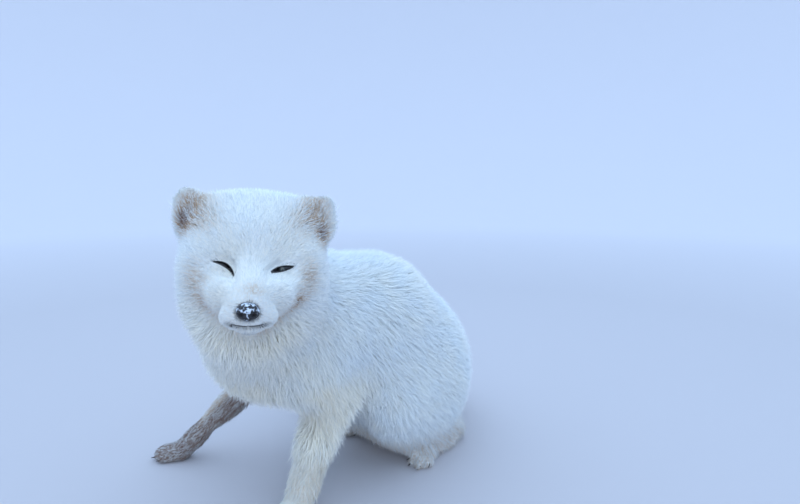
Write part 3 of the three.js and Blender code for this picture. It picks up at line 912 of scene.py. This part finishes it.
# ------------------------------------------------------------------ tufts
# A tuft is a thin bent solid: a root, then a left, a right and an upper corner at its bend, then a tip. Its
# points lie these shares along it and across it.
TUFT_FACES = [(0, 1, 2), (0, 3, 1), (0, 2, 3), (1, 4, 2), (1, 3, 4), (2, 4, 3)]
TUFT_UNDERSIDE = [0, 3]
TUFT_ALONG = np.array([0, 0.55, 0.55, 0.55, 1])
TUFT_ACROSS = np.array([0, -0.5, 0.5, 0, 0])
BAKE_PATCH = 0.003
# The skin is coloured as a hair is at this share of its length, with the painted shade of the roots, and with
# this in place of a random share.
SKIN_ALONG = 0.2
SKIN_CHANCE = 0.5
# How many layers of tufts lie on each other, and how much of a tuft's shading is the body's, not its own.
COVER = 14
SOFTNESS = 0.42
# Lengths vary by these shares, and headings by two waves of a size and strength, and at random.
SEED = 7
LENGTHS = (0.6, 1.2)
WAVES = ((34, 0.16), (9, 0.16))
RUFFLE = 0.26
# Tips are drawn to the nearest of some leaders, within this many widths.
LEADERS = 0.2
LOCK_REACH = 5
# Guard hairs stand a little out of the coat. A hair strays outward by these shares of the way it would take
# if it ran straight on, and more where the body turns away under it.
GUARD_SHARE = 0.3
STRAY = 0.3
GUARD_TURN = 0.4
COAT_TURN = 0.3
# Shares of the coat's depth: how far under the outline a hair bends, and how far over it its tip ends.
GUARD_BEND = (0.15, 0.4)
COAT_BEND = (0.25, 0.65)
GUARD_TIP = (0.02, 0.18)
COAT_TIP = (-0.16, 0.04)
# Roots begin this far inside the skin, and nothing grows on soles, which lie below this height.
ROOT_SINK = 1.0
SOLE_HEIGHT = 0.6
# A tuft that would lie over a bare place is tried at ever smaller shares of its length.
TRIED_SHARES = (1.0, 0.85, 0.7, 0.55, 0.4, 0.25)
SHARE_STEP = 0.15
# The skin is laid flat in pieces that part where it bends by more than this, and lie this far apart.
SEAM_ANGLE = 66
ISLAND_GAP = 0.002


def wave(points, size, strength):
    """A smooth, fixed sway of direction that changes over a distance of about size."""
    turns = np.array([[1.0, 0.7, -0.4], [-0.6, 1.0, 0.8], [0.5, -0.9, 1.0]]) * 2 * pi / size / 1.6
    sways = []
    for i, t in enumerate(turns):
        sways.append(np.sin(points @ t + i * 1.7) + 0.6 * np.sin(points @ t[[1, 2, 0]] * 1.9 + i))
    return strength * np.stack(sways, 1) / 1.6


def clumped(ends, reach, lock, rng):
    """Draws tips together into locks."""
    leaders = np.flatnonzero(rng.random(len(ends)) < LEADERS)
    tree = KDTree(len(leaders))
    for i, leader in enumerate(leaders):
        tree.insert(ends[leader], i)
    tree.balance()
    found = [tree.find(end) for end in ends]
    places = np.array([place for place, _, _ in found])
    distance = np.array([distance for _, _, distance in found])
    pull = lock * np.clip(1 - distance / reach, 0, 1)
    return ends + (places - ends) * pull[:, None]


class Outline:
    """The outline at the tips of the coat, with the lie of the hair on it."""

    def __init__(self, points, triangles, flow):
        self.tree = BVHTree.FromPolygons(points.tolist(), triangles.tolist())
        self.normal = unit(normals_of(points, triangles)[triangles].mean(1))
        self.flow = unit(flow[triangles].mean(1))

    def walk(self, points, faces, sway, distance):
        """New places and faces after a step along the hair, and the way taken."""
        normal = self.normal[faces]
        heading = self.flow[faces] + sway
        heading = unit(heading - (heading * normal).sum(1, keepdims=True) * normal)
        targets = (points + heading * distance[:, None]).tolist()
        found = [self.tree.find_nearest(target) for target in targets]
        places = np.array([place for place, *_ in found])
        return places, np.array([index for _, _, index, _ in found]), heading


def scatter(weights, rng):
    """Random faces, each as often as its weight says, with a random place in each."""
    total = int(weights.sum())
    pick = (np.arange(total) + rng.random(total)) / total * weights.sum()
    face = np.clip(np.searchsorted(np.cumsum(weights), pick), 0, len(weights) - 1)
    a, b = rng.random((2, total))
    flip = a + b > 1
    a, b = np.where(flip, 1 - a, a), np.where(flip, 1 - b, b)
    return face, np.stack([1 - a - b, a, b], 1)


def share_clear(start, ends):
    """How much of its length each tuft may have before it lies over a bare place of the face."""
    share = np.ones(len(start))
    for reached in TRIED_SHARES:
        over = from_bare(start + (ends - start) * reached) < BARE_RIM
        share[over] = reached - SHARE_STEP
    return share[:, None]


def tuft_mesh(name, roots, bends, tips, widths, normals, root_uv, chance):
    """Joins one tuft for each row: where it begins, bends and ends, its width there and the way outward."""
    n = len(tips)
    ahead = unit(tips - roots)
    sides = unit(np.cross(ahead, normals))
    ups = unit(np.cross(sides, ahead))
    reach = widths[:, None] / 2
    points = np.stack([roots, bends - sides * reach, bends + sides * reach, bends + ups * reach, tips], 1)
    points[..., 2] = np.maximum(points[..., 2], FLOOR_GAP)
    corners = len(TUFT_ALONG)
    faces = (np.array(TUFT_FACES)[None] + (np.arange(n) * corners)[:, None, None]).reshape(-1, 3)
    mesh = bpy.data.meshes.new(name)
    mesh.from_pydata(placed(ROW, points.reshape(-1, 3)), [], faces)
    outward = np.stack([ups, -sides, sides, ups, ups], 1)
    soft = unit(SOFTNESS * normals[:, None] + (1 - SOFTNESS) * outward)[:, TUFT_FACES]
    soft[:, TUFT_UNDERSIDE] = -ups[:, None, None]
    mesh.normals_split_custom_set(soft.reshape(-1, 3).astype(np.float32))
    patch = np.stack([TUFT_ACROSS, TUFT_ALONG - 0.5], 1) * BAKE_PATCH
    uv = (root_uv[:, None] + patch).reshape(-1, 2)[faces.ravel()]
    mesh.uv_layers.new(name="OFBake").data.foreach_set("uv", uv.astype(np.float32).ravel())
    add_marks(mesh, points.reshape(-1, 3), np.tile(TUFT_ALONG, n), np.repeat(chance, corners))
    return mesh


def main_skin():
    """The skin's mesh in the fox's frame, its triangles, the outline over it, its points, and its coat."""
    mesh = outer_skin()
    edges = array_of(mesh.edges, "vertices", 2, int)
    mesh.calc_loop_triangles()
    triangles = array_of(mesh.loop_triangles, "vertices", 3, int)
    outer = array_of(mesh.vertices, "co", 3)
    coat = lie_of_coat(outer)
    thin = thickness_behind(outer, normals_of(outer, triangles), triangles) * THIN_SHARE
    depth = smoothed(np.minimum(coat.depth, thin)[:, None], edges, DEPTH_BLURS, BLUR)[:, 0]
    inner = inner_skin(outer, edges, triangles, depth)
    mesh.vertices.foreach_set("co", inner.ravel())
    mesh.update()
    return mesh, triangles, coat_over_lids(outer, inner, triangles), inner, coat


def unwrap(piece):
    """Lays the skin out flat by its own shape."""
    bpy.context.view_layer.objects.active = piece
    piece.select_set(True)
    bpy.ops.object.mode_set(mode="EDIT")
    bpy.ops.mesh.select_all(action="SELECT")
    bpy.ops.uv.smart_project(angle_limit=radians(SEAM_ANGLE), island_margin=ISLAND_GAP)
    bpy.ops.object.mode_set(mode="OBJECT")
    piece.select_set(False)
    piece.data.uv_layers[0].name = "OFBake"
    piece.data.calc_loop_triangles()


def grow_coat(skin_mesh, triangles, outer, inner, coat, material):
    """Scatters tufts over the skin, lays them along the outline, and joins each region's in one piece."""
    rng = np.random.default_rng(SEED)
    corners = outer[triangles]
    area = np.linalg.norm(np.cross(corners[:, 1] - corners[:, 0], corners[:, 2] - corners[:, 0]), axis=1) / 2
    on_floor = corners[:, :, 2].max(1) < SOLE_HEIGHT
    bare = from_bare(corners.mean(1)) < BARE_RIM
    hair_size = (coat.length * coat.width)[triangles].mean(1)
    face, share = scatter(area * COVER / hair_size * ~on_floor * ~bare, rng)
    total = len(face)

    def at(values, picked=triangles):
        return (values[picked[face]] * share.reshape(total, 3, *[1] * (values.ndim - 1))).sum(1)

    def either(guard_range, coat_range):
        return np.where(guard, rng.uniform(*guard_range, total), rng.uniform(*coat_range, total))

    start, root, thick = at(outer), at(inner), at(coat.width)
    corner_uv = array_of(skin_mesh.uv_layers[0].data, "uv", 2)
    uv = at(corner_uv, array_of(skin_mesh.loop_triangles, "loops", 3, int))
    size = at(coat.length) * rng.uniform(*LENGTHS, total)
    outline = Outline(outer, triangles, coat.flow)
    sway = sum(wave(start, *sizes) for sizes in WAVES) + rng.normal(0, RUFFLE, (total, 3))
    halfway, face_1, heading = outline.walk(start, face, sway, size / 2)
    ends, face_2, _ = outline.walk(halfway, face_1, sway, size / 2)
    guard = rng.random(total) < GUARD_SHARE
    turn = np.clip(1 - (outline.normal[face] * outline.normal[face_1]).sum(1), 0, 1)
    stray = np.where(guard, STRAY + GUARD_TURN * turn, COAT_TURN * turn)
    away = start + heading * size[:, None] - ends
    stray *= (away * outline.normal[face_2]).sum(1) > 0
    ends = ends + away * stray[:, None]
    ends = clumped(ends, thick * LOCK_REACH, at(coat.lock), rng)
    clear = share_clear(start, ends)
    halfway, ends = start + (halfway - start) * clear, start + (ends - start) * clear
    depth = np.linalg.norm(start - root, axis=1)
    low = root - outline.normal[face] * ROOT_SINK
    bend_under = either(GUARD_BEND, COAT_BEND)
    tip_over = either(GUARD_TIP, COAT_TIP)
    bend = halfway - outline.normal[face_1] * (depth * bend_under)[:, None]
    tips = ends + outline.normal[face_2] * (depth * tip_over * clear[:, 0])[:, None]
    chance = rng.random(total)
    for index, name in enumerate(REGIONS):
        mine = np.flatnonzero(coat.region[triangles[face, 0]] == index)
        normals = unit(outline.normal[face[mine]] + outline.normal[face_1[mine]])
        shape = [values[mine] for values in (low, bend, tips, thick)]
        mesh = tuft_mesh(f"coat_{name}", *shape, normals, uv[mine], chance[mine])
        mesh.materials.append(material)
        tufts = fresh_object(f"coat_{name}", mesh)
        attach(tufts, "root")
        slot_of(name)
        print(tufts.name, len(mine), "tufts", len(mesh.polygons), "triangles")


# ------------------------------------------------------------------ eyes, nose and claws
# The front of each eyeball, ahead of this share of its radius, is flatter by this.
EYE_FLAT_FROM = 0.75
EYE_FLAT = 0.7
# In X and Z of the nose pad, for both sides: middle and radii of the nostril, and of what it keeps frost off.
NOSTRIL = ((4.0, -1.6), (1.8, 1.5))
NOSTRIL_DEPTH = 3.2
CLEAR_OF_FROST = ((0.5, -0.3), (0.3, 0.3))
# The slit beside each nostril: its middle and radii, where it begins, and how it rises outward.
SLIT = ((6.2, 0), (2.0, 0.7))
SLIT_DEPTH = 1.4
SLIT_FROM = (4.2, -1.4)
SLIT_RISE = 0.35
NOSE_GROOVE = 0.8


def bmesh_piece(name, bm, matrix, material, replaced=()):
    bm.transform(ROW @ matrix)
    bmesh.ops.recalc_face_normals(bm, faces=bm.faces)
    mesh = bpy.data.meshes.new(name)
    bm.to_mesh(mesh)
    bm.free()
    mesh.shade_smooth()
    mesh.materials.append(material)
    piece = fresh_object(name, mesh)
    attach(piece, "root")
    if replaced:
        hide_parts(*replaced)
    return piece


def add_eye(name, side, material):
    bm = bmesh.new()
    bmesh.ops.create_uvsphere(bm, u_segments=48, v_segments=32, radius=EYE_RADIUS, matrix=turned(x=90))
    ring = bm.verts.layers.float.new("from_pupil")
    for vert in bm.verts:
        ahead = -vert.co.y / EYE_RADIUS
        vert[ring] = np.hypot(vert.co.x, vert.co.z) / EYE_RADIUS if ahead > 0 else 1.0
        vert.co.y -= EYE_FLAT * max(0.0, (ahead - EYE_FLAT_FROM) / (1 - EYE_FLAT_FROM))
    place = HEAD @ Matrix.Translation((side * EYE_SIDE, EYE_BACK, 0))
    bmesh_piece(f"eyeball_{name}", bm, place, material, [f"eye_{name}"])


def spot(x, z, middle, radii):
    """How near a place of the nose pad is to a spot beside its middle line, on either side."""
    return np.exp(-(((abs(x) - middle[0]) / radii[0]) ** 2) - ((z - middle[1]) / radii[1]) ** 2)


def add_nose(material):
    """A pad that is narrower below, with a groove under it, and nostrils that end in slits to the sides."""
    bm = bmesh.new()
    bmesh.ops.create_uvsphere(bm, u_segments=64, v_segments=48, radius=1, matrix=turned(x=90))
    frost = bm.verts.layers.float.new("frost")
    for vert in bm.verts:
        x, y, z = vert.co
        vert[frost] = max(bell(z, 0.25, 0.25), bell(x, 0, 0.2) * (z < 0.2), z > 0.7)
        vert[frost] -= 1.5 * spot(x, z, *CLEAR_OF_FROST)
        x *= 1 - 0.35 * max(0.0, -z) ** 1.5
        x, y, z = NOSE_RADII * (x, y, z)
        if y < 0:
            over_slit = z - SLIT_FROM[1] - SLIT_RISE * (abs(x) - SLIT_FROM[0])
            y += NOSTRIL_DEPTH * spot(x, z, *NOSTRIL) + SLIT_DEPTH * spot(x, over_slit, *SLIT)
            y += NOSE_GROOVE * bell(x, 0, 0.5) * step(-1.0, -4.0, z)
        vert.co = (x, y, z)
    bmesh_piece("nose_pad", bm, HEAD @ Matrix.Translation(NOSE_AT.tolist()), material, ["nose"])


# The toes of a paw: how far each one turns from the paw's heading, and how far it reaches.
TOES = {-34: 20, -12: 27, 12: 27, 34: 20}
CLAW_LENGTH = 7
CLAW_RADII = (1.4, 0.3)
CLAW_AHEAD = 8
CLAW_HEIGHT = 4.5
CLAW_TILT = 100
CLAW_SIDES = 10


def add_claws(material):
    bm = bmesh.new()
    for (x, y), heading in PAWS.values():
        for spread, reach in TOES.items():
            way = radians(heading + spread)
            out = reach + CLAW_AHEAD
            middle = Matrix.Translation((x + sin(way) * out, y - cos(way) * out, CLAW_HEIGHT))
            bmesh.ops.create_cone(
                bm,
                cap_ends=True,
                segments=CLAW_SIDES,
                radius1=CLAW_RADII[0],
                radius2=CLAW_RADII[1],
                depth=CLAW_LENGTH,
                matrix=middle @ turned(x=CLAW_TILT, z=heading + spread / 2),
            )
    bmesh_piece("claws", bm, Matrix.Identity(4), material)


# ------------------------------------------------------------------ the fox
add_camera()
add_floor()
add_sky()
bpy.context.scene.view_settings.view_transform = "Standard"

colours = fur_colours()
skin_mesh, triangles, outer, inner, coat = main_skin()
skin = fresh_object("skin", skin_mesh)
unwrap(skin)
grow_coat(skin_mesh, triangles, outer, inner, coat, fur_material("coat_fur", colours, 0.93)[0])
add_marks(skin_mesh, inner, np.full(len(inner), SKIN_ALONG), np.full(len(inner), SKIN_CHANCE))
skin_mesh.transform(ROW)
skin_mesh.shade_smooth()
skin_mesh.materials.append(skin_material(colours))
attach(skin, "root")
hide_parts(*[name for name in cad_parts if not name.startswith(("eye_", "nose"))])

wet_eye = eye_material()
for side_name, side_sign in SIDES.items():
    add_eye(side_name, side_sign, wet_eye)
add_nose(nose_material())
add_claws(claw_material())

scene_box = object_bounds()
{name: [[*corner] for corner in box] for name, box in (("cad", cad_box), ("scene", scene_box))}
